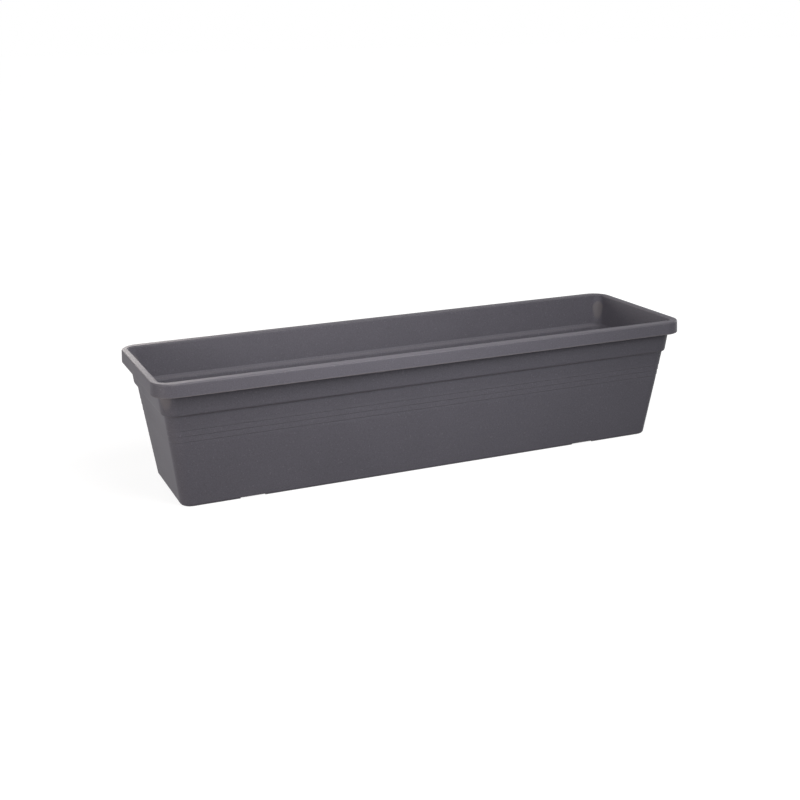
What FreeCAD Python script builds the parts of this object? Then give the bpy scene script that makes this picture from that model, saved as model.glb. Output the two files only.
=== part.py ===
import FreeCAD, Part
import math
import os
import Sketcher

# Trough planter: one moulded trough, two loose grid halves over a water reserve, four drain plugs.
# Millimetres. X runs along the trough, the front looks to -Y, Z is up.
# The origin is the middle of the footprint, on the ground.

SIZES = [
    # Rim: a flat top with a skirt turned down over the band
    ("length", 800, "outside of the rim along X"),
    ("width", 238, "outside of the rim along Y"),
    ("height", 183.5, "ground to the top of the rim"),
    ("rim_skirt", 18.4, "height of the skirt"),
    ("rim_flare", 0.8, "lean of the skirt, outward towards its foot"),
    ("rim_skirt_wall", 2.4, "thickness of the skirt"),
    ("rim_plate", 3, "thickness of the rim's top"),
    ("rim_corner", 28.5, "corner radius outside the rim"),
    ("rim_round", 2.4, "rounding of the rim's outer edge"),
    ("skirt_bevel", 0.5, "bevel of the skirt's foot"),
    ("mouth_wall", 3.1, "thickness of the wall at the mouth"),
    ("mouth_corner", 12, "corner radius of the mouth"),
    ("mouth_round", 2.4, "rounding of the mouth's edge"),
    # Band under the rim, and the step below it
    ("band_end_inset", 9.9, "rim's outside to the band at a short end, level with the skirt's foot"),
    ("band_side_inset", 14.4, "the same at a long side"),
    ("band_lean", 3.2, "lean of the band, inward towards its lower edge"),
    ("root_lean", 2.6, "lean of the wall behind the skirt, outward towards the rim"),
    ("band_corner", 20, "corner radius of the band"),
    ("step_drop", 50.2, "top of the rim to the corner under the step"),
    ("step_rise", 1.6, "rise of the step from that corner to the band's lower edge"),
    ("step_depth", 3.9, "band's lower edge to the corner under the step, inward"),
    ("step_round", 4.5, "rounding of the band's lower edge"),
    # Drafted body
    ("base_end_inset", 34, "rim's outside to the footprint, at a short end"),
    ("base_side_inset", 39, "rim's outside to the footprint, at a long side"),
    ("body_corner", 16, "corner radius of the body"),
    ("base_round", 5, "rounding of the bottom edge"),
    ("wall", 3.2, "thickness of the body's wall"),
    ("floor_plate", 3, "thickness of the floor"),
    ("cavity_corner", 14, "corner radius inside the body"),
    ("floor_bevel", 4, "bevel between floor and walls, inside"),
    ("ledge_drop", 1.4, "inside step, below the outside one"),
    ("ledge_rise", 5.9, "height of the inside step"),
    ("ledge_corner", 15, "corner radius inside the band, above the inside step"),
    ("ledge_round", 3, "rounding of the inside step's lower edge"),
    # Three fine lines round the body, each a small lap like a clapboard's
    ("line_count", 3, "number of lines"),
    ("line_start", 20.2, "corner under the step to the top line"),
    ("line_pitch", 8.25, "spacing of the lines"),
    ("line_lip", 0.22, "how far each lap stands out, and then in, from the wall"),
    ("line_drop", 0.8, "height of the turn under each lap"),
    ("line_blend", 4, "height over which the wall runs into the laps"),
    # Foot ring with gaps that let the drained water out
    ("foot_height", 2.5, "height of the foot ring under the floor"),
    ("foot_width", 13, "width of the foot ring"),
    ("panel_corner", 6, "corner radius of the panel inside the ring"),
    ("foot_gap", 36, "width of a gap in the ring"),
    ("foot_gap_left", 98, "left end of the footprint to the middle of a gap"),
    ("foot_gap_right", 115, "right end of the footprint to the middle of a gap"),
    ("drain_bore", 16, "bore of a drain hole"),
    ("drain_side", 38, "long side of the footprint to a drain hole"),
    # Webs that stiffen the skirt from behind
    ("web_wall", 1.6, "thickness of a web"),
    ("web_setback", 5, "skirt's foot to the webs"),
    ("web_bite", 1.2, "how far a web runs into the walls that it joins"),
    ("web_margin", 65, "least distance from a corner of the rim to a web"),
    ("web_pitch", 110, "spacing of the webs on a long side"),
    ("web_end_pitch", 80, "spacing of the webs on a short side"),
    # Loose grid over the water reserve
    ("reserve_depth", 46, "floor to the top of the grid"),
    ("grid_plate", 2.4, "thickness of the grid"),
    ("grid_skirt", 9, "height of the grid's edge"),
    ("grid_skirt_wall", 2, "thickness of the grid's edge"),
    ("grid_clearance", 0.8, "grid's edge to the walls"),
    ("grid_split", 1, "gap between the halves"),
    ("well_top", 68, "side of a square soil well at the grid"),
    ("well_foot", 56, "side of a soil well at the floor"),
    ("well_corner", 9, "length that a soil well's cut corners take from each side"),
    ("well_wall", 2, "thickness of a soil well"),
    ("well_inner", 96, "middle of the trough to the innermost well"),
    ("well_end", 110, "end of the footprint to the outermost well"),
    ("well_count", 2, "wells in a half, two or more"),
    ("well_drain", 9, "side of the hole in a well's bottom"),
    ("well_slit", 4, "width of the slits in a well's side"),
    ("well_slit_rise", 22, "height of those slits"),
    ("well_slit_sill", 3, "well's bottom to those slits"),
    ("slot_length", 22, "length of a slot in the grid"),
    ("slot_width", 4.5, "width of a slot"),
    ("slot_pitch", 38, "spacing of the slots along X"),
    ("slot_start", 36, "middle of the trough to the first slot"),
    ("slot_row_gap", 12, "side of the wells to the inner row"),
    ("slot_row_pitch", 18, "spacing of the rows"),
    ("slot_margin", 10, "least distance from a slot to the edge of the grid"),
    # Push-in drain plugs
    ("plug_clearance", 0.3, "plug's stem to its bore, all round"),
    ("plug_head", 25, "width of a plug's eight-sided head, across its flats"),
    ("plug_head_plate", 1.7, "thickness of a plug's head"),
    ("plug_reach", 4, "how far a stem stands up inside the trough"),
    ("plug_key", 2.2, "width of the coin slot in a head"),
    ("plug_key_length", 14, "length of the coin slot"),
    ("plug_key_depth", 0.8, "depth of the coin slot"),
]

X_SIDE = "length"
Y_SIDE = "width"
BAND_INSET = {X_SIDE: "band_end_inset", Y_SIDE: "band_side_inset"}
BASE_INSET = {X_SIDE: "base_end_inset", Y_SIDE: "base_side_inset"}
NEAR = 1e-3


def make_sheet(doc):
    sheet = doc.addObject("Spreadsheet::Sheet", "Sizes")
    for row, (alias, value, note) in enumerate(SIZES, start=1):
        sheet.set(f"A{row}", note)
        sheet.set(f"B{row}", str(value))
        sheet.setAlias(f"B{row}", alias)
    doc.recompute()
    return sheet


# Levels and sizes that follow from the sheet, as expressions


def size(name):
    return f"Sizes.{name}"


def inset_size(side, inset):
    """Outside of the rim, less the same inset at both ends."""
    return f"(Sizes.{side} - 2 * ({inset}))"


def band_size(side, lean):
    """Outside of the band, less what it leans inward below the skirt's foot."""
    return inset_size(side, f"{size(BAND_INSET[side])} + ({lean})")


def body_size(side, level):
    """Outside of the drafted body at a level between the ground and the step."""
    base = inset_size(side, size(BASE_INSET[side]))
    top = band_size(side, STEP_LEAN)
    return f"({base} + ({top} - {base}) * ({level}) / {STEP})"


def cavity_size(side, level):
    return f"({body_size(side, level)} - 2 * Sizes.wall)"


def band_lean(level):
    """Lean of the band, from its top down to a level."""
    return f"(Sizes.band_lean * ({SKIRT_FOOT} - {level}) / ({SKIRT_FOOT} - {BAND_FOOT}))"


def row_count(run, pitch):
    """How many places at a pitch fit on a run, both ends included."""
    return f"(floor(({run}) / {pitch}) + 1)"


FLOOR = "(Sizes.foot_height + Sizes.floor_plate)"
RIM_UNDERSIDE = "(Sizes.height - Sizes.rim_plate)"
RIM_PLATE_MIDDLE = "(Sizes.height - Sizes.rim_plate / 2)"
SKIRT_FOOT = "(Sizes.height - Sizes.rim_skirt)"
STEP = "(Sizes.height - Sizes.step_drop)"
BAND_FOOT = f"({STEP} + Sizes.step_rise)"
LEDGE_FOOT = f"({STEP} - Sizes.ledge_drop)"
LEDGE_TOP = f"({LEDGE_FOOT} + Sizes.ledge_rise)"
GRID_TOP = f"({FLOOR} + Sizes.reserve_depth)"
STEP_LEAN = "(Sizes.band_lean + Sizes.step_depth)"
MOUTH_LEAN = "(Sizes.mouth_wall - Sizes.root_lean)"
BASE_END = "(Sizes.length / 2 - Sizes.base_end_inset)"
BASE_EDGE = "(Sizes.width / 2 - Sizes.base_side_inset)"
WELL_OUTER = f"({BASE_END} - Sizes.well_end)"
DRAIN_PLACE = f"((Sizes.well_inner + {WELL_OUTER}) / 2)"
DRAIN_ROW = f"({BASE_EDGE} - Sizes.drain_side)"


# Sketches


def origin_feature(body, role):
    return next(item for item in body.Origin.OriginFeatures if item.Role == role)


def new_sketch(body, name, level="0", place="0"):
    """Flat sketch at a level, with its origin at a place along X."""
    sketch = body.newObject("Sketcher::SketchObject", name)
    sketch.AttachmentSupport = [(origin_feature(body, "XY_Plane"), "")]
    sketch.MapMode = "FlatFace"
    sketch.setExpression("AttachmentOffset.Base.x", place)
    sketch.setExpression("AttachmentOffset.Base.z", level)
    return sketch


def drive(sketch, name, expression, *constraint):
    """Add a dimension to a sketch and bind it to an expression."""
    value = sketch.evalExpression(expression)
    index = sketch.addConstraint(Sketcher.Constraint(*constraint, value))
    sketch.renameConstraint(index, name)
    sketch.setExpression(f"Constraints.{name}", expression)


def point(x, y):
    return FreeCAD.Vector(x, y, 0)


def line(sketch, start, end):
    return sketch.addGeometry(Part.LineSegment(start, end))


def arc(sketch, centre, radius, start, end):
    circle = Part.Circle(centre, FreeCAD.Vector(0, 0, 1), radius)
    return sketch.addGeometry(Part.ArcOfCircle(circle, math.radians(start), math.radians(end)))


def rounded_rectangle(sketch, length, width, corner):
    """Rectangle about the sketch's origin, with equal arcs at its corners."""
    x = sketch.evalExpression(length) / 2
    y = sketch.evalExpression(width) / 2
    r = sketch.evalExpression(corner)
    front = line(sketch, point(r - x, -y), point(x - r, -y))
    front_right = arc(sketch, point(x - r, r - y), r, -90, 0)
    right = line(sketch, point(x, r - y), point(x, y - r))
    rear_right = arc(sketch, point(x - r, y - r), r, 0, 90)
    rear = line(sketch, point(x - r, y), point(r - x, y))
    rear_left = arc(sketch, point(r - x, y - r), r, 90, 180)
    left = line(sketch, point(-x, y - r), point(-x, r - y))
    front_left = arc(sketch, point(r - x, r - y), r, 180, 270)
    ring = [front, front_right, right, rear_right, rear, rear_left, left, front_left]
    for edge, following in zip(ring, ring[1:] + ring[:1]):
        sketch.addConstraint(Sketcher.Constraint("Tangent", edge, 2, following, 1))
    for edge in (front, rear):
        sketch.addConstraint(Sketcher.Constraint("Horizontal", edge))
    for edge in (right, left):
        sketch.addConstraint(Sketcher.Constraint("Vertical", edge))
    for edge in (rear_right, rear_left, front_left):
        sketch.addConstraint(Sketcher.Constraint("Equal", front_right, edge))
    sketch.addConstraint(Sketcher.Constraint("Symmetric", front_right, 3, rear_left, 3, -1, 1))
    drive(sketch, "corner", corner, "Radius", front_right)
    drive(sketch, "length", length, "DistanceX", left, 1, right, 1)
    drive(sketch, "width", width, "DistanceY", front, 1, rear, 1)


def half_outline(sketch, inner, outer, width, corner):
    """Half of a trough's plan: square at the inner end, arcs at the outer one."""
    x0 = sketch.evalExpression(inner)
    x1 = sketch.evalExpression(outer)
    y = sketch.evalExpression(width) / 2
    r = sketch.evalExpression(corner)
    front = line(sketch, point(x0, -y), point(x1 - r, -y))
    front_arc = arc(sketch, point(x1 - r, r - y), r, -90, 0)
    end = line(sketch, point(x1, r - y), point(x1, y - r))
    rear_arc = arc(sketch, point(x1 - r, y - r), r, 0, 90)
    rear = line(sketch, point(x1 - r, y), point(x0, y))
    split = line(sketch, point(x0, y), point(x0, -y))
    ring = [front, front_arc, end, rear_arc, rear]
    for edge, following in zip(ring, ring[1:]):
        sketch.addConstraint(Sketcher.Constraint("Tangent", edge, 2, following, 1))
    sketch.addConstraint(Sketcher.Constraint("Coincident", rear, 2, split, 1))
    sketch.addConstraint(Sketcher.Constraint("Coincident", split, 2, front, 1))
    for edge in (front, rear):
        sketch.addConstraint(Sketcher.Constraint("Horizontal", edge))
    sketch.addConstraint(Sketcher.Constraint("Vertical", end))
    sketch.addConstraint(Sketcher.Constraint("Equal", front_arc, rear_arc))
    sketch.addConstraint(Sketcher.Constraint("Symmetric", split, 1, split, 2, -1))
    drive(sketch, "corner", corner, "Radius", front_arc)
    drive(sketch, "inner", inner, "DistanceX", -1, 1, split, 1)
    drive(sketch, "outer", outer, "DistanceX", -1, 1, end, 1)
    drive(sketch, "width", width, "DistanceY", split, 2, split, 1)


def rectangle(sketch, tag, left, right, low, high):
    """Rectangle between two places along each axis, measured from the sketch's origin."""
    x0, x1, y0, y1 = (sketch.evalExpression(place) for place in (left, right, low, high))
    corners = [point(x0, y0), point(x1, y0), point(x1, y1), point(x0, y1)]
    edges = [line(sketch, a, b) for a, b in zip(corners, corners[1:] + corners[:1])]
    for edge, following in zip(edges, edges[1:] + edges[:1]):
        sketch.addConstraint(Sketcher.Constraint("Coincident", edge, 2, following, 1))
    for edge in edges[0::2]:
        sketch.addConstraint(Sketcher.Constraint("Horizontal", edge))
    for edge in edges[1::2]:
        sketch.addConstraint(Sketcher.Constraint("Vertical", edge))
    drive(sketch, f"{tag}_left", left, "DistanceX", -1, 1, edges[0], 1)
    drive(sketch, f"{tag}_right", right, "DistanceX", -1, 1, edges[2], 1)
    drive(sketch, f"{tag}_low", low, "DistanceY", -1, 1, edges[0], 1)
    drive(sketch, f"{tag}_high", high, "DistanceY", -1, 1, edges[2], 1)


def cut_square(sketch, width, flat):
    """Square about the sketch's origin with its corners cut off, so that each side keeps a flat."""
    half = f"(({width}) / 2)"
    short = f"(({flat}) / 2)"
    corners = [(half, short), (short, half), (f"-{short}", half), (f"-{half}", short)]
    corners += [(f"-({x})", f"-({y})") for x, y in corners]
    places = [point(sketch.evalExpression(x), sketch.evalExpression(y)) for x, y in corners]
    edges = [line(sketch, a, b) for a, b in zip(places, places[1:] + places[:1])]
    for edge, following in zip(edges, edges[1:] + edges[:1]):
        sketch.addConstraint(Sketcher.Constraint("Coincident", edge, 2, following, 1))
    for number, (x, y) in enumerate(corners):
        drive(sketch, f"x{number}", x, "DistanceX", -1, 1, edges[number], 1)
        drive(sketch, f"y{number}", y, "DistanceY", -1, 1, edges[number], 1)


def circle(sketch, tag, x, y, diameter):
    centre = point(sketch.evalExpression(x), sketch.evalExpression(y))
    radius = sketch.evalExpression(diameter) / 2
    ring = sketch.addGeometry(Part.Circle(centre, FreeCAD.Vector(0, 0, 1), radius))
    drive(sketch, f"{tag}_x", x, "DistanceX", -1, 1, ring, 3)
    drive(sketch, f"{tag}_y", y, "DistanceY", -1, 1, ring, 3)
    drive(sketch, f"{tag}_bore", diameter, "Diameter", ring)


# Features


def loft(body, kind, name, sketches):
    feature = body.newObject(f"PartDesign::{kind}Loft", name)
    feature.Profile = sketches[0]
    feature.Sections = sketches[1:]
    feature.Ruled = True
    body.Document.recompute()
    return feature


def section(body, name, level, length, width, corner):
    sketch = new_sketch(body, name, level)
    rounded_rectangle(sketch, length, width, corner)
    return sketch


def inset_section(body, name, level, inset, corner):
    return section(body, name, level, inset_size(X_SIDE, inset), inset_size(Y_SIDE, inset), corner)


def band_section(body, name, level, lean, corner):
    return section(body, name, level, *[band_size(side, lean) for side in (X_SIDE, Y_SIDE)], corner)


def wall_section(body, name, level, stand="0"):
    """Section of the drafted body, standing out from the wall by a little."""
    sides = [f"{body_size(side, level)} + 2 * ({stand})" for side in (X_SIDE, Y_SIDE)]
    return section(body, name, level, *sides, size("body_corner"))


def cavity_section(body, name, level, inset="0"):
    sides = [f"{cavity_size(side, level)} - 2 * ({inset})" for side in (X_SIDE, Y_SIDE)]
    return section(body, name, level, *sides, f"Sizes.cavity_corner - ({inset})")


def extrude(body, kind, name, sketch, length, upward):
    """Pad or Pocket of a flat sketch. A Pocket runs against its sketch's normal unless reversed."""
    feature = body.newObject(f"PartDesign::{kind}", name)
    feature.Profile = sketch
    feature.setExpression("Length", length)
    feature.Reversed = upward if kind == "Pocket" else not upward
    body.Document.recompute()
    return feature


def pattern(body, name, feature, sketch, axis, pitch, count):
    """Row of copies of a feature along one axis of its sketch."""
    row = body.newObject("PartDesign::LinearPattern", name)
    row.Originals = [feature]
    row.Direction = (sketch, [axis])
    row.Mode = "Spacing"
    row.setExpression("Offset", pitch)
    row.setExpression("Occurrences", count)
    body.Tip = row
    body.Document.recompute()
    return row


def ring_edges(body, level, length, width):
    """Edges of the ring that a rounded rectangle of this size leaves at a level."""
    z = body.evalExpression(level)
    half_x = body.evalExpression(length) / 2
    half_y = body.evalExpression(width) / 2
    names = []
    for number, edge in enumerate(body.Tip.Shape.Edges, start=1):
        on_ring = [
            abs(max(abs(v.X) - half_x, abs(v.Y) - half_y)) < NEAR and abs(v.Z - z) < NEAR
            for v in edge.Vertexes
        ]
        if on_ring and all(on_ring):
            names.append(f"Edge{number}")
    return names


def dress_ring(body, kind, name, *ring):
    """Fillet or Chamfer on a ring, given by its level, length and width."""
    base = body.Tip
    edges = ring_edges(body, *ring)
    feature = body.newObject(f"PartDesign::{kind}", name)
    feature.Base = (base, edges)
    return feature


def round_ring(body, name, radius, *ring):
    fillet = dress_ring(body, "Fillet", name, *ring)
    fillet.setExpression("Radius", radius)
    body.Document.recompute()


def bevel_ring(body, name, width, *ring):
    chamfer = dress_ring(body, "Chamfer", name, *ring)
    chamfer.setExpression("Size", width)
    body.Document.recompute()


def new_body(doc, label):
    body = doc.addObject("PartDesign::Body", label)
    body.Label = label
    return body


# Trough


def trough_rim(body):
    """Rim block, hollowed from below to a top plate and a skirt."""
    skirt_foot = inset_section(body, "SkirtFoot", SKIRT_FOOT, "0", size("rim_corner"))
    rim_top = inset_section(
        body, "RimTop", size("height"), size("rim_flare"), "Sizes.rim_corner - Sizes.rim_flare"
    )
    loft(body, "Additive", "RimBlock", [skirt_foot, rim_top])
    hollow_foot = inset_section(
        body, "HollowFoot", SKIRT_FOOT, size("rim_skirt_wall"), "Sizes.rim_corner - Sizes.rim_skirt_wall"
    )
    hollow_inset = "(Sizes.rim_skirt_wall + Sizes.rim_flare)"
    hollow_top = inset_section(
        body, "HollowTop", RIM_UNDERSIDE, hollow_inset, f"Sizes.rim_corner - {hollow_inset}"
    )
    loft(body, "Subtractive", "RimHollow", [hollow_foot, hollow_top])


def trough_wall(body, lines):
    """Drafted body with its lapped lines, the step and the band up to the rim's plate."""
    top_line = f"({STEP} - Sizes.line_start)"
    lowest = f"({top_line} - {lines - 1} * Sizes.line_pitch - Sizes.line_drop)"
    sections = [
        wall_section(body, "Base", "0"),
        wall_section(body, "LinesFoot", f"({lowest} - Sizes.line_blend)"),
    ]
    for number in reversed(range(lines)):
        level = f"({top_line} - {number} * Sizes.line_pitch)"
        under = f"({level} - Sizes.line_drop)"
        sections.append(wall_section(body, f"LapUnder{number}", under, "-Sizes.line_lip"))
        sections.append(wall_section(body, f"LapLip{number}", level, size("line_lip")))
    root_corner = "Sizes.mouth_corner + Sizes.mouth_wall"
    sections += [
        wall_section(body, "LinesTop", f"({top_line} + Sizes.line_blend)"),
        wall_section(body, "StepCorner", STEP),
        band_section(body, "BandFoot", BAND_FOOT, size("band_lean"), size("band_corner")),
        band_section(body, "BandTop", SKIRT_FOOT, "0", size("band_corner")),
        band_section(body, "BandRoot", RIM_PLATE_MIDDLE, "-Sizes.root_lean", root_corner),
    ]
    loft(body, "Additive", "Wall", sections)


def trough_webs(body):
    """Webs between the band and the skirt, set back from the skirt's foot."""
    level = f"({SKIRT_FOOT} + Sizes.web_setback)"
    rise = f"({RIM_UNDERSIDE} - {level} + Sizes.web_bite)"
    tip = "(Sizes.rim_skirt_wall - Sizes.web_bite)"
    half = "(Sizes.web_wall / 2)"

    count = row_count("Sizes.length - 2 * Sizes.web_margin", size("web_pitch"))
    first = f"(-({count} - 1) * Sizes.web_pitch / 2)"
    long_sides = new_sketch(body, "LongWebSketch", level)
    root = "(Sizes.band_side_inset + Sizes.web_bite)"
    for tag, sign in (("front", "-1"), ("rear", "1")):
        places = sorted([f"{sign} * (Sizes.width / 2 - {inset})" for inset in (root, tip)],
                        key=body.evalExpression)
        rectangle(long_sides, tag, f"{first} - {half}", f"{first} + {half}", *places)
    webs = extrude(body, "Pad", "LongWeb", long_sides, rise, upward=True)
    pattern(body, "LongWebs", webs, long_sides, "H_Axis", size("web_pitch"), count)

    count = row_count("Sizes.width - 2 * Sizes.web_margin", size("web_end_pitch"))
    first = f"(-({count} - 1) * Sizes.web_end_pitch / 2)"
    short_sides = new_sketch(body, "ShortWebSketch", level)
    root = "(Sizes.band_end_inset + Sizes.web_bite)"
    for tag, sign in (("left", "-1"), ("right", "1")):
        places = sorted([f"{sign} * (Sizes.length / 2 - {inset})" for inset in (root, tip)],
                        key=body.evalExpression)
        rectangle(short_sides, tag, *places, f"{first} - {half}", f"{first} + {half}")
    webs = extrude(body, "Pad", "ShortWeb", short_sides, rise, upward=True)
    pattern(body, "ShortWebs", webs, short_sides, "V_Axis", size("web_end_pitch"), count)


def trough_cavity(body):
    """Inside of the trough, which follows the outside at the wall's thickness."""
    lower = [
        cavity_section(body, "CavityFloor", FLOOR, size("floor_bevel")),
        cavity_section(body, "BevelTop", f"({FLOOR} + Sizes.floor_bevel)"),
        cavity_section(body, "LedgeFoot", LEDGE_FOOT),
    ]
    ledge_lean = f"({band_lean(LEDGE_TOP)} + Sizes.wall)"
    upper = [
        band_section(body, "LedgeTop", LEDGE_TOP, ledge_lean, size("ledge_corner")),
        band_section(body, "Mouth", size("height"), MOUTH_LEAN, size("mouth_corner")),
    ]
    loft(body, "Subtractive", "Cavity", lower + upper)


def trough_roundings(body):
    rim_top = [inset_size(side, size("rim_flare")) for side in (X_SIDE, Y_SIDE)]
    mouth = [band_size(side, MOUTH_LEAN) for side in (X_SIDE, Y_SIDE)]
    band_foot = [band_size(side, size("band_lean")) for side in (X_SIDE, Y_SIDE)]
    skirt_foot = [inset_size(side, "0") for side in (X_SIDE, Y_SIDE)]
    base = [body_size(side, "0") for side in (X_SIDE, Y_SIDE)]
    ledge = [cavity_size(side, LEDGE_FOOT) for side in (X_SIDE, Y_SIDE)]
    round_ring(body, "RimRound", size("rim_round"), size("height"), *rim_top)
    round_ring(body, "MouthRound", size("mouth_round"), size("height"), *mouth)
    bevel_ring(body, "SkirtBevel", size("skirt_bevel"), SKIRT_FOOT, *skirt_foot)
    round_ring(body, "StepRound", size("step_round"), BAND_FOOT, *band_foot)
    round_ring(body, "BaseRound", size("base_round"), "0", *base)
    round_ring(body, "LedgeRound", size("ledge_round"), LEDGE_FOOT, *ledge)


def trough_foot(body):
    """Foot ring under the floor, gaps across its long sides, and the drain bores."""
    panel = new_sketch(body, "PanelSketch")
    rounded_rectangle(
        panel,
        f"2 * ({BASE_END} - Sizes.foot_width)",
        f"2 * ({BASE_EDGE} - Sizes.foot_width)",
        size("panel_corner"),
    )
    extrude(body, "Pocket", "Panel", panel, size("foot_height"), upward=True)

    gaps = new_sketch(body, "GapSketch")
    drains = new_sketch(body, "DrainSketch")
    for tag, sign in (("left", "-1"), ("right", "1")):
        middle = f"{sign} * ({BASE_END} - Sizes.foot_gap_{tag})"
        left = f"{middle} - Sizes.foot_gap / 2"
        right = f"{middle} + Sizes.foot_gap / 2"
        rectangle(gaps, tag, left, right, "-Sizes.width / 2", "Sizes.width / 2")
        for row, side in (("front", "-1"), ("rear", "1")):
            place = [f"{sign} * {DRAIN_PLACE}", f"{side} * {DRAIN_ROW}"]
            circle(drains, f"{tag}_{row}", *place, size("drain_bore"))
    extrude(body, "Pocket", "Gaps", gaps, size("foot_height"), upward=True)
    extrude(body, "Pocket", "Drains", drains, f"{FLOOR} + Sizes.floor_plate", upward=True)


def trough_shell(doc, sheet):
    body = new_body(doc, "trough_shell")
    trough_rim(body)
    trough_wall(body, int(sheet.line_count))
    trough_webs(body)
    trough_cavity(body)
    trough_roundings(body)
    trough_foot(body)
    return body


# Loose grid


def grid_tray(body):
    """Plate with a turned-down edge that follows the trough's walls at a clearance."""
    edge_foot = "(Sizes.reserve_depth - Sizes.grid_skirt)"
    inner = "(Sizes.grid_split / 2)"
    outlines = []
    for name, level in (("EdgeFoot", edge_foot), ("PlateTop", size("reserve_depth"))):
        height = f"({level} + {FLOOR})"
        outline = new_sketch(body, name, level)
        half_outline(
            outline,
            inner,
            f"{cavity_size(X_SIDE, height)} / 2 - Sizes.grid_clearance",
            f"{cavity_size(Y_SIDE, height)} - 2 * Sizes.grid_clearance",
            "Sizes.cavity_corner - Sizes.grid_clearance",
        )
        outlines.append(outline)
    loft(body, "Additive", "Tray", outlines)

    margin = "(Sizes.grid_clearance + Sizes.grid_skirt_wall)"
    height = f"({edge_foot} + {FLOOR})"
    hollow = new_sketch(body, "TrayHollowSketch", edge_foot)
    half_outline(
        hollow,
        f"{inner} + Sizes.grid_skirt_wall",
        f"{cavity_size(X_SIDE, height)} / 2 - {margin}",
        f"{cavity_size(Y_SIDE, height)} - 2 * {margin}",
        f"Sizes.cavity_corner - {margin}",
    )
    extrude(body, "Pocket", "TrayHollow", hollow, "Sizes.grid_skirt - Sizes.grid_plate", upward=True)


def well_loft(body, kind, name, place, foot, shrink):
    """Tapered square block of a soil well, from a level near the floor to the top of the grid."""
    ends = []
    for tag, level, side in (("Foot", foot, "well_foot"), ("Top", size("reserve_depth"), "well_top")):
        end = new_sketch(body, f"{name}{tag}", level, place)
        width = f"(Sizes.{side} - 2 * ({shrink}))"
        corner = f"(Sizes.well_corner - ({shrink}) * (2 - sqrt(2)))"
        cut_square(end, width, f"{width} - 2 * {corner}")
        ends.append(end)
    loft(body, kind, name, ends)


def grid_wells(body, wells):
    """Soil wells that stand on the floor, with an open bottom and slit sides."""
    pitch = f"({WELL_OUTER} - Sizes.well_inner) / {wells - 1}"
    places = [f"(Sizes.well_inner + {number} * {pitch})" for number in range(wells)]
    for number, place in enumerate(places):
        well_loft(body, "Additive", f"Well{number}", place, "0", "0")
        well_loft(body, "Subtractive", f"WellHollow{number}", place, size("well_wall"), size("well_wall"))
    sill = "(Sizes.well_wall + Sizes.well_slit_sill)"
    drains = new_sketch(body, "WellDrainSketch")
    along = new_sketch(body, "SlitSketchAlong", sill)
    across = new_sketch(body, "SlitSketchAcross", sill)
    for number, place in enumerate(places):
        tag = f"well{number}"
        for sketch, half_x, half_y in (
            (drains, "Sizes.well_drain / 2", "Sizes.well_drain / 2"),
            (along, "Sizes.well_top / 2", "Sizes.well_slit / 2"),
            (across, "Sizes.well_slit / 2", "Sizes.well_top / 2"),
        ):
            rectangle(sketch, tag, f"{place} - {half_x}", f"{place} + {half_x}", f"-{half_y}", half_y)
    extrude(body, "Pocket", "WellDrains", drains, size("well_wall"), upward=True)
    extrude(body, "Pocket", "SlitsAlong", along, size("well_slit_rise"), upward=True)
    extrude(body, "Pocket", "SlitsAcross", across, size("well_slit_rise"), upward=True)


def grid_slots(body):
    """Rows of slots through the plate, on both sides of the wells."""
    end = f"({cavity_size(X_SIDE, GRID_TOP)} / 2 - Sizes.grid_clearance - Sizes.slot_margin)"
    edge = f"({cavity_size(Y_SIDE, GRID_TOP)} / 2 - Sizes.grid_clearance - Sizes.slot_margin)"
    half_length = "(Sizes.slot_length / 2)"
    half_width = "(Sizes.slot_width / 2)"
    inner_row = "(Sizes.well_top / 2 + Sizes.slot_row_gap)"
    rows = row_count(f"{edge} - {half_width} - {inner_row}", size("slot_row_pitch"))
    count = row_count(f"{end} - {half_length} - Sizes.slot_start", size("slot_pitch"))
    first = new_sketch(body, "SlotSketch", size("reserve_depth"), size("slot_start"))
    for tag, sign in (("front", "-1"), ("rear", "1")):
        for row in range(int(body.evalExpression(rows))):
            place = f"{sign} * ({inner_row} + {row} * Sizes.slot_row_pitch)"
            sides = [f"{place} - {half_width}", f"{place} + {half_width}"]
            rectangle(first, f"{tag}{row}", f"-{half_length}", half_length, *sides)
    cut = extrude(body, "Pocket", "Slot", first, size("grid_plate"), upward=False)
    pattern(body, "Slots", cut, first, "H_Axis", size("slot_pitch"), count)


def reservoir_grid(doc, sheet, label, turn):
    body = new_body(doc, label)
    grid_tray(body)
    grid_wells(body, int(sheet.well_count))
    grid_slots(body)
    body.Placement = FreeCAD.Placement(
        FreeCAD.Vector(0, 0, 0), FreeCAD.Rotation(FreeCAD.Vector(0, 0, 1), turn)
    )
    body.setExpression("Placement.Base.z", FLOOR)
    return body


# Drain plugs


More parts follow.
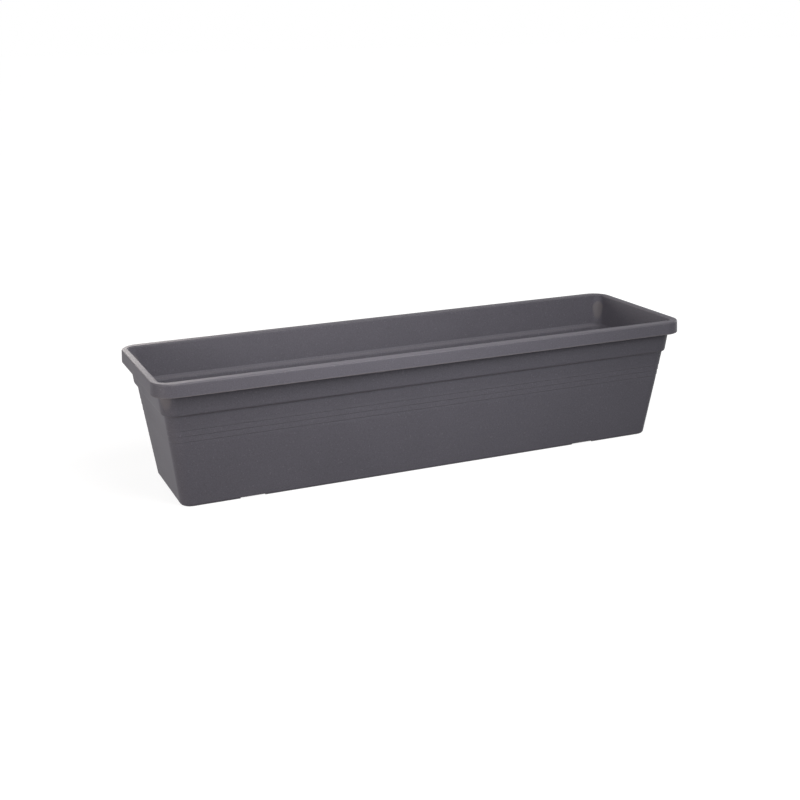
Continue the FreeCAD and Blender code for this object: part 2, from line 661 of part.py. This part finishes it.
def drain_plug(doc, label, x_sign, y_sign):
    """Plug with an eight-sided head under the floor, a stem up through the bore and a coin slot below."""
    body = new_body(doc, label)
    head = new_sketch(body, "HeadSketch")
    cut_square(head, size("plug_head"), "Sizes.plug_head * tan(22.5)")
    extrude(body, "Pad", "Head", head, size("plug_head_plate"), upward=False)
    stem = new_sketch(body, "StemSketch")
    circle(stem, "stem", "0", "0", "Sizes.drain_bore - 2 * Sizes.plug_clearance")
    extrude(body, "Pad", "Stem", stem, "Sizes.floor_plate + Sizes.plug_reach", upward=True)
    key = new_sketch(body, "KeySketch", "-Sizes.plug_head_plate")
    rectangle(
        key, "key", "-Sizes.plug_key_length / 2", "Sizes.plug_key_length / 2",
        "-Sizes.plug_key / 2", "Sizes.plug_key / 2",
    )
    extrude(body, "Pocket", "Key", key, size("plug_key_depth"), upward=True)
    body.setExpression("Placement.Base.x", f"{x_sign} * {DRAIN_PLACE}")
    body.setExpression("Placement.Base.y", f"{y_sign} * {DRAIN_ROW}")
    body.setExpression("Placement.Base.z", size("foot_height"))
    return body


# Assembly


def check(doc, bodies):
    """Stop before anything is written if a feature failed or a piece is not one sound solid."""
    for item in doc.Objects:
        if "Invalid" in item.State or "Error" in item.State:
            raise RuntimeError(f"{item.Label} failed: {item.State}")
    for body in bodies:
        shape = body.Shape
        if shape.isNull() or not shape.isValid() or len(shape.Solids) != 1:
            raise RuntimeError(f"{body.Label} is not one valid solid")


def main():
    doc = FreeCAD.newDocument("TroughPlanter")
    sheet = make_sheet(doc)
    bodies = [
        trough_shell(doc, sheet),
        reservoir_grid(doc, sheet, "reservoir_grid_right", 0),
        reservoir_grid(doc, sheet, "reservoir_grid_left", 180),
    ]
    corners = [(-1, -1), (1, -1), (-1, 1), (1, 1)]
    for number, (x_sign, y_sign) in enumerate(corners, start=1):
        bodies.append(drain_plug(doc, f"drain_plug_{number}", x_sign, y_sign))
    doc.recompute()
    check(doc, bodies)
    os.makedirs("parts", exist_ok=True)
    for body in bodies:
        body.Shape.exportStep(f"parts/{body.Label}.step")
        box = body.Shape.optimalBoundingBox(False)
        print(f"{body.Label}: {body.Shape.Volume / 1000:.1f} cm3, "
              f"{box.XLength:.1f} x {box.YLength:.1f} x {box.ZLength:.1f} mm")


main()
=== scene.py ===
import math

import bpy
from mathutils import Matrix, Vector

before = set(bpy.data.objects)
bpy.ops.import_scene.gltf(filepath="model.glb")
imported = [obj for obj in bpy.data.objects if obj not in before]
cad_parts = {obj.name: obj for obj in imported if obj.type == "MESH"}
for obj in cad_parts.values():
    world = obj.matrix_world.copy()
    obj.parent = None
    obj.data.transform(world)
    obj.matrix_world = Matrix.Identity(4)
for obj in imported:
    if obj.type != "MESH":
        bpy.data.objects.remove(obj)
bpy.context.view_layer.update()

# Camera: the photograph's view, in degrees, metres and millimetres of a 36 mm sensor
CAMERA_AZIMUTH = -22.874
CAMERA_ELEVATION = 16.740
CAMERA_ROLL = 1.009
CAMERA_PLACE = (-0.7039, -1.6333, 0.6164)
CAMERA_SENSOR = 36.0
CAMERA_LENS = 56.378

# Lamps: square softboxes round the middle of the trough, in degrees, metres and watts
LAMP_AIM = (0, 0, 0.1)
DAYLIGHT = (1.0, 1.0, 1.0)
SOFT_WARM = (1.0, 0.96, 0.95)
WARM_LIGHT = (1.0, 0.94, 0.91)
LAMPS = (
    # name, azimuth, elevation, distance, width, power, colour
    ("key", -34, 48, 0.6, 0.3, 2.0, SOFT_WARM),
    ("key_low", 4, 30, 0.6, 0.3, 1.4, DAYLIGHT),
    ("front", 20, 26, 2.2, 0.8, 12.0, DAYLIGHT),
    ("high_right", 45, 58, 2.2, 0.8, 18.0, SOFT_WARM),
    ("left", -70, 4, 1.3, 0.5, 8.3, WARM_LIGHT),
    ("rear", 188, 14, 2.2, 0.8, 24.0, WARM_LIGHT),
    ("right", 110, 6, 2.2, 0.8, 14.0, DAYLIGHT),
)

# Floor and backdrop: white where they are seen, and dim in the light that they throw back
FLOOR_REACH = 30.0
FLOOR_GREY = (0.18, 0.18, 0.18)
FLOOR_GLOW_NEAR = 0.9
FLOOR_GLOW_FAR = 1.0
GLOW_START = 0.4
GLOW_END = 1.0
WHITE = (1, 1, 1, 1)
SURROUND_LIGHT = 0.02

# Finishes: linear colours, lengths in metres, and levels of gloss
SHELL_DARK = (0.066, 0.0635, 0.0755)
SHELL_LIGHT = (0.104, 0.1, 0.119)
# The shell's pale edge colour: rubbing wear, and a painted highlight along its rounded edges
SHELL_WORN_AND_HIGHLIT = (0.135, 0.125, 0.13)
GRID_DARK = (0.022, 0.022, 0.024)
GRID_LIGHT = (0.040, 0.040, 0.042)
GRID_WORN = (0.055, 0.055, 0.056)
RUBBER_DARK = (0.018, 0.018, 0.019)
RUBBER_LIGHT = (0.036, 0.036, 0.036)
RUBBER_WORN = (0.045, 0.045, 0.045)
SOFT_EDGE = 0.0004
GRAIN_DEPTH = 0.0001
# Reach of the shell's pale edges, which are rubbing wear and a painted highlight
SHELL_WEAR_AND_HIGHLIGHT_REACH = 0.0022
SMALL_WEAR = 0.0008
SHELL_SPECULAR = 0.15
GRID_SPECULAR = 0.4
RUBBER_SPECULAR = 0.35
FLOOR_ROUGHNESS = 0.9

# Textures: noise features to the metre, and the range that most of the noise lies in
SHELL_GRAIN = 650
SHELL_CLOUD = 9
SHELL_SPECKS = 420
GRID_GRAIN = 900
GRID_FLOW = 60
FLOW_STRETCH = (0.15, 1, 1)
RUBBER_PEBBLE = 1400
RUBBER_BLOOM = 120
NOISE_LOW = 0.3
NOISE_HIGH = 0.7
SPECK_START = 0.74
SPECK_END = 0.80
BLOOM_START = 0.45
BLOOM_END = 0.75
# The edge mask for wear, which on the shell is also a painted edge highlight
WEAR_AND_HIGHLIGHT_SAMPLES = 6
WEAR_AND_HIGHLIGHT_NONE = 1.0
WEAR_AND_HIGHLIGHT_FULL = 0.65
EDGE_SAMPLES = 4


def view_axes(azimuth, elevation):
    """Right, up and back of a camera that looks at the object from an angle in degrees."""
    a = math.radians(azimuth)
    e = math.radians(elevation)
    right = Vector((math.cos(a), math.sin(a), 0))
    back = Vector((math.sin(a) * math.cos(e), -math.cos(a) * math.cos(e), math.sin(e)))
    return right, back.cross(right), back


def add_object(name, data):
    made = bpy.data.objects.new(name, data)
    bpy.context.scene.collection.objects.link(made)
    return made


def add_camera():
    data = bpy.data.cameras.new("photo_camera")
    data.sensor_fit = "HORIZONTAL"
    data.sensor_width = CAMERA_SENSOR
    data.lens = CAMERA_LENS
    camera = add_object("photo_camera", data)
    axes = Matrix(view_axes(CAMERA_AZIMUTH, CAMERA_ELEVATION)).transposed()
    roll = Matrix.Rotation(math.radians(-CAMERA_ROLL), 3, "Z")
    camera.matrix_world = Matrix.Translation(CAMERA_PLACE) @ (axes @ roll).to_4x4()
    bpy.context.scene.camera = camera


def add_lamp(name, azimuth, elevation, distance, width, power, colour):
    """A square softbox that faces the trough from an angle."""
    data = bpy.data.lights.new(name, "AREA")
    data.size = width
    data.energy = power
    data.color = colour
    lamp = add_object(name, data)
    back = view_axes(azimuth, elevation)[2]
    lamp.location = Vector(LAMP_AIM) + back * distance
    lamp.rotation_euler = back.to_track_quat("Z", "Y").to_euler()
    lamp.visible_camera = False


def add_node(tree, kind, inputs, **settings):
    """A shader node with its settings, whose inputs are given as numbers or as sockets to link."""
    made = tree.nodes.new("ShaderNode" + kind)
    for name, value in settings.items():
        setattr(made, name, value)
    for key, value in inputs.items():
        if isinstance(value, bpy.types.NodeSocket):
            tree.links.new(value, made.inputs[key])
        else:
            made.inputs[key].default_value = value
    return made


def math_node(tree, operation, first, second, clamp=False):
    made = add_node(tree, "Math", {0: first, 1: second}, operation=operation, use_clamp=clamp)
    return made.outputs["Value"]


def remap(tree, value, from_low, from_high, to_low, to_high):
    """A value moved from one range to another, held at the ends of the new one."""
    ends = {"From Min": from_low, "From Max": from_high, "To Min": to_low, "To Max": to_high}
    return add_node(tree, "MapRange", {"Value": value, **ends}).outputs["Result"]


def spread(tree, value, low, high):
    """Noise moved from the range that it mostly lies in to another."""
    return remap(tree, value, NOISE_LOW, NOISE_HIGH, low, high)


def seen_directly(tree):
    """1 for what is seen straight, mirrored or through something clear, and 0 for other light."""
    path = add_node(tree, "LightPath", {}).outputs
    seen = math_node(tree, "ADD", path["Is Camera Ray"], path["Is Glossy Ray"])
    return math_node(tree, "ADD", seen, path["Is Transmission Ray"], clamp=True)


def object_place(tree):
    return add_node(tree, "TexCoord", {}).outputs["Object"]


def add_floor():
    """A floor that looks white, and keeps the trough's soft shadow near it."""
    mesh = bpy.data.meshes.new("floor")
    r = FLOOR_REACH
    mesh.from_pydata([(-r, -r, 0), (r, -r, 0), (r, r, 0), (-r, r, 0)], [], [(0, 1, 2, 3)])
    floor = add_object("floor", mesh)
    material, tree, shader = new_material("floor_white")
    shader["Base Color"].default_value = (*FLOOR_GREY, 1)
    shader["Roughness"].default_value = FLOOR_ROUGHNESS
    shader["Specular IOR Level"].default_value = 0.0
    shader["Emission Color"].default_value = WHITE
    away = add_node(tree, "VectorMath", {0: object_place(tree)}, operation="LENGTH").outputs["Value"]
    glow = remap(tree, away, GLOW_START, GLOW_END, FLOOR_GLOW_NEAR, FLOOR_GLOW_FAR)
    tree.links.new(math_node(tree, "MULTIPLY", glow, seen_directly(tree)), shader["Emission Strength"])
    mesh.materials.append(material)


def add_backdrop():
    """A world that is white where it is seen, and throws little light of its own."""
    world = bpy.data.worlds.new("studio")
    bpy.context.scene.world = world
    world.use_nodes = True
    tree = world.node_tree
    light = tree.nodes["Background"].inputs
    light["Color"].default_value = WHITE
    level = remap(tree, seen_directly(tree), 0, 1, SURROUND_LIGHT, 1)
    tree.links.new(level, light["Strength"])


def new_material(name):
    """A material, its node tree and its shader's inputs."""
    material = bpy.data.materials.new(name)
    material.use_nodes = True
    tree = material.node_tree
    return material, tree, tree.nodes["Principled BSDF"].inputs


def noise(tree, scale, detail, stretch=(1, 1, 1)):
    """Smooth noise about 0.5, with a scale in features to the metre along each axis."""
    place = add_node(tree, "Mapping", {"Vector": object_place(tree), "Scale": stretch}).outputs["Vector"]
    return add_node(tree, "TexNoise", {"Vector": place, "Scale": scale, "Detail": detail}).outputs["Fac"]


def worn_and_highlit_edges(tree, reach, most):
    """A share of wear at outer edges, none a short way from them; on the shell it is also a painted
    highlight along the rounded edges.
    """
    settings = {"inside": True, "only_local": True, "samples": WEAR_AND_HIGHLIGHT_SAMPLES}
    inner = add_node(tree, "AmbientOcclusion", {"Distance": reach}, **settings)
    return remap(tree, inner.outputs["AO"], WEAR_AND_HIGHLIGHT_NONE, WEAR_AND_HIGHLIGHT_FULL, 0, most)


def piece_tone(tree, spread):
    """A slightly different tone for each piece."""
    random = add_node(tree, "ObjectInfo", {}).outputs["Random"]
    return remap(tree, random, 0, 1, -spread, spread)


def sum_of(tree, values):
    total = values[0]
    for value in values[1:]:
        total = math_node(tree, "ADD", total, value)
    return total


def blend(tree, share, first, second):
    """The first colour where the share is 0, and the second where it is 1."""
    mixed = {"Fac": share, "Color1": first, "Color2": second}
    return add_node(tree, "MixRGB", mixed, use_clamp=True).outputs["Color"]


def paint(tree, shader, shades, tone, wear_and_highlight):
    """Base colour between a dark and a light shade, and a paler one on outer edges for rubbing wear,
    which on the shell is also a painted highlight.
    """
    dark, light, worn_and_highlit = ((*shade, 1) for shade in shades)
    body = blend(tree, tone, dark, light)
    tree.links.new(blend(tree, wear_and_highlight, body, worn_and_highlit), shader["Base Color"])


def rough_surface(tree, shader, height, strength):
    """Fine relief over edges that are a little rounded."""
    soft = add_node(tree, "Bevel", {"Radius": SOFT_EDGE}, samples=EDGE_SAMPLES).outputs["Normal"]
    relief = {"Height": height, "Distance": GRAIN_DEPTH, "Strength": strength, "Normal": soft}
    tree.links.new(add_node(tree, "Bump", relief).outputs["Normal"], shader["Normal"])


def shell_plastic():
    """Anthracite polypropylene with a fine eroded grain, a few pale specks, and pale outer edges that
    are rubbing wear and a painted highlight.
    """
    material, tree, shader = new_material("shell_plastic")
    grain = noise(tree, SHELL_GRAIN, detail=3)
    cloud = noise(tree, SHELL_CLOUD, detail=3)
    specks = noise(tree, SHELL_SPECKS, detail=0)
    tones = (
        spread(tree, grain, 0.2, 0.7),
        spread(tree, cloud, -0.08, 0.08),
        remap(tree, specks, SPECK_START, SPECK_END, 0, 0.5),
    )
    shades = (SHELL_DARK, SHELL_LIGHT, SHELL_WORN_AND_HIGHLIT)
    # Pale outer edges: rubbing wear and a painted highlight along the rounded edges
    paint(tree, shader, shades, sum_of(tree, tones), worn_and_highlit_edges(tree, SHELL_WEAR_AND_HIGHLIGHT_REACH, 0.65))
    matt = (spread(tree, cloud, 0.52, 0.58), spread(tree, grain, -0.03, 0.03))
    tree.links.new(sum_of(tree, matt), shader["Roughness"])
    shader["Specular IOR Level"].default_value = SHELL_SPECULAR
    rough_surface(tree, shader, grain, 0.3)
    return material


def grid_plastic():
    """Black polypropylene with a satin skin, faint flow marks along each half and rubbed edges."""
    material, tree, shader = new_material("grid_plastic")
    grain = noise(tree, GRID_GRAIN, detail=2)
    flow = noise(tree, GRID_FLOW, detail=3, stretch=FLOW_STRETCH)
    tones = (
        spread(tree, grain, 0.2, 0.45),
        spread(tree, flow, -0.1, 0.1),
        piece_tone(tree, 0.05),
    )
    shades = (GRID_DARK, GRID_LIGHT, GRID_WORN)
    paint(tree, shader, shades, sum_of(tree, tones), worn_and_highlit_edges(tree, SMALL_WEAR, 0.5))
    matt = (spread(tree, flow, 0.36, 0.5), spread(tree, grain, -0.04, 0.04))
    tree.links.new(sum_of(tree, matt), shader["Roughness"])
    shader["Specular IOR Level"].default_value = GRID_SPECULAR
    rough_surface(tree, shader, grain, 0.2)
    return material


def plug_rubber():
    """Dull black rubber with a pebbled skin and a patchy grey bloom."""
    material, tree, shader = new_material("plug_rubber")
    pebble = noise(tree, RUBBER_PEBBLE, detail=1)
    bloom = noise(tree, RUBBER_BLOOM, detail=4)
    tones = (
        spread(tree, pebble, 0.15, 0.35),
        remap(tree, bloom, BLOOM_START, BLOOM_END, 0, 0.35),
        piece_tone(tree, 0.08),
    )
    shades = (RUBBER_DARK, RUBBER_LIGHT, RUBBER_WORN)
    paint(tree, shader, shades, sum_of(tree, tones), worn_and_highlit_edges(tree, SMALL_WEAR, 0.4))
    tree.links.new(spread(tree, bloom, 0.62, 0.8), shader["Roughness"])
    shader["Specular IOR Level"].default_value = RUBBER_SPECULAR
    rough_surface(tree, shader, pebble, 0.4)
    return material


def finish_pieces():
    """Each CAD piece's finish, by the word that its name starts with."""
    finishes = {"trough": shell_plastic(), "reservoir": grid_plastic(), "drain": plug_rubber()}
    for name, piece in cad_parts.items():
        piece.data.materials.clear()
        piece.data.materials.append(finishes[name.split("_")[0]])


add_camera()
add_floor()
add_backdrop()
for lamp in LAMPS:
    add_lamp(*lamp)
finish_pieces()
bpy.context.scene.view_settings.view_transform = "Standard"
